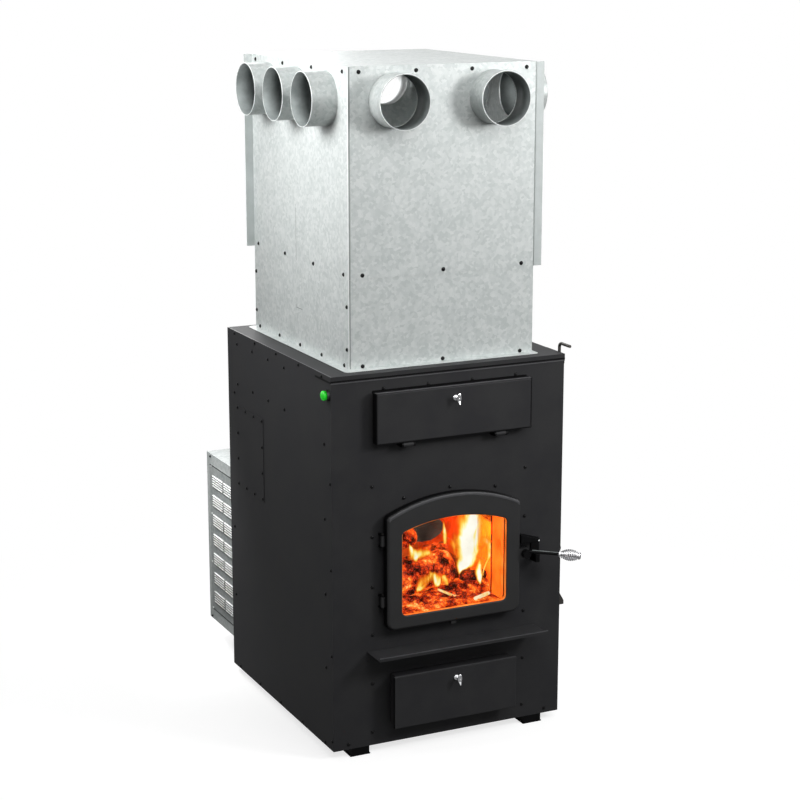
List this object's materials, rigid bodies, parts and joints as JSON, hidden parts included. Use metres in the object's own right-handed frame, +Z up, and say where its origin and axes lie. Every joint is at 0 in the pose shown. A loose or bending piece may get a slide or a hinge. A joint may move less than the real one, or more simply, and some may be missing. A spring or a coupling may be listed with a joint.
{
  "type": "wood furnace",
  "caption": "Free-standing wood-burning warm-air furnace: black cabinet with glazed feed door, clean-out door and ash drawer, galvanised duct plenum with round collars, rear blower box.",
  "frame": {"origin": "on the floor, under the middle of the whole box", "axes": "+Z up, -Y out of the front with the doors, +X to the right seen from the front"},
  "size_m": [0.7988, 1.2068, 1.95],
  "materials": {
    "black_sheet": "satin black powder coat",
    "black_casting": "satin black stove paint",
    "bare_plate": "mill finish, heat darkened",
    "stainless_steel": "brushed",
    "firebrick": "rough",
    "fibre_board": "matt",
    "clear_glass": "clear, polished",
    "rope_seal": "woven",
    "bright_chrome": "polished",
    "galvanised_sheet": "galvanised, fine spangle",
    "filter_media": "pleated, soft",
    "motor_enamel": "gloss enamel",
    "green_lens": "translucent, lit",
    "black_plastic": "moulded"
  },
  "bodies": {
    "furnace": {"air_filter": "filter_media", "air_tubes": "stainless_steel", "ash_housing": "black_sheet", "ash_shelf": "black_sheet", "back_panel": "black_sheet", "baffle_board": "fibre_board", "base_pan": "black_sheet", "blower_box": "galvanised_sheet", "blower_housing": "galvanised_sheet", "blower_motor": "motor_enamel", "button_bezel": "black_plastic", "cleanout_hinges": "black_sheet", "collar_front_1": "galvanised_sheet", "collar_front_2": "galvanised_sheet", "collar_left_1": "galvanised_sheet", "collar_left_2": "galvanised_sheet", "collar_left_3": "galvanised_sheet", "collar_right_1": "galvanised_sheet", "collar_right_2": "galvanised_sheet", "collar_right_3": "galvanised_sheet", "collars_back": "galvanised_sheet", "door_hinge_brackets": "black_sheet", "door_hinge_pins": "bare_plate", "feet": "black_sheet", "filter_grille": "galvanised_sheet", "firebox_shell": "bare_plate", "floor_bricks": "firebrick", "flue_collar": "bare_plate", "front_panel": "black_sheet", "heat_exchanger": "bare_plate", "latch_catch": "black_sheet", "left_side_panel": "black_sheet", "plenum_back_panel": "galvanised_sheet", "plenum_front_panel": "galvanised_sheet", "plenum_left_panel": "galvanised_sheet", "plenum_lower_box": "galvanised_sheet", "plenum_right_panel": "galvanised_sheet", "plenum_top_cover": "galvanised_sheet", "right_side_panel": "black_sheet", "sheet_screws": "black_sheet", "tool_hooks": "black_sheet", "top_front_trim": "black_sheet", "top_panel": "black_sheet", "wall_bricks": "firebrick", "wiring_cover": "black_sheet"},
    "feed_door": {"feed_door_frame": "black_casting", "door_glass": "clear_glass", "glass_retainers": "stainless_steel", "door_gaskets": "rope_seal"},
    "feed_handle": {"handle_lever": "bright_chrome", "handle_grip": "bright_chrome"},
    "cleanout_door": {"cleanout_door": "black_sheet", "cleanout_gasket": "rope_seal"},
    "cleanout_knob": {"cleanout_knob": "bright_chrome"},
    "ash_drawer": {"ash_drawer_pan": "bare_plate", "ash_drawer_front": "black_sheet"},
    "ash_knob": {"ash_knob": "bright_chrome"},
    "push_button": {"push_button": "green_lens"},
    "blower_wheel": {"blower_wheel": "galvanised_sheet"},
    "rake": {"rake_tool": "bare_plate"}
  },
  "joints": [
    {"name": "feed_door_swing", "type": "hinge", "parent": "furnace", "child": "feed_door", "pos_m": [-0.2311, -0.50561, 0.55], "axis": [0, 0, -1], "range_deg": [0, 110]},
    {"name": "feed_handle_lift", "type": "hinge", "parent": "feed_door", "child": "feed_handle", "pos_m": [0.2164, -0.52561, 0.548], "axis": [0, -1, 0], "range_deg": [0, 45]},
    {"name": "cleanout_door_drop", "type": "hinge", "parent": "furnace", "child": "cleanout_door", "pos_m": [-0.0116, -0.51661, 0.914], "axis": [1, 0, 0], "range_deg": [0, 95]},
    {"name": "cleanout_knob_turn", "type": "hinge", "parent": "cleanout_door", "child": "cleanout_knob", "pos_m": [-0.0116, -0.52161, 1.034], "axis": [0, -1, 0], "range_deg": [0, 90]},
    {"name": "ash_drawer_slide", "type": "slide", "parent": "furnace", "child": "ash_drawer", "axis": [0, -1, 0], "range_m": [0, 0.4]},
    {"name": "ash_knob_turn", "type": "hinge", "parent": "ash_drawer", "child": "ash_knob", "pos_m": [-0.0116, -0.52961, 0.209], "axis": [0, -1, 0], "range_deg": [0, 90]},
    {"name": "button_press", "type": "slide", "parent": "furnace", "child": "push_button", "axis": [1, 0, 0], "range_m": [0, 0.004], "stiffness_N_per_m": 400},
    {"name": "blower_spin", "type": "hinge", "parent": "furnace", "child": "blower_wheel", "pos_m": [-0.0116, 0.45539, 0.2242], "axis": [1, 0, 0], "continuous": true},
    {"name": "rake_lift", "type": "slide", "parent": "furnace", "child": "rake", "axis": [0, 0, 1], "range_m": [0, 0.06]}
  ]
}
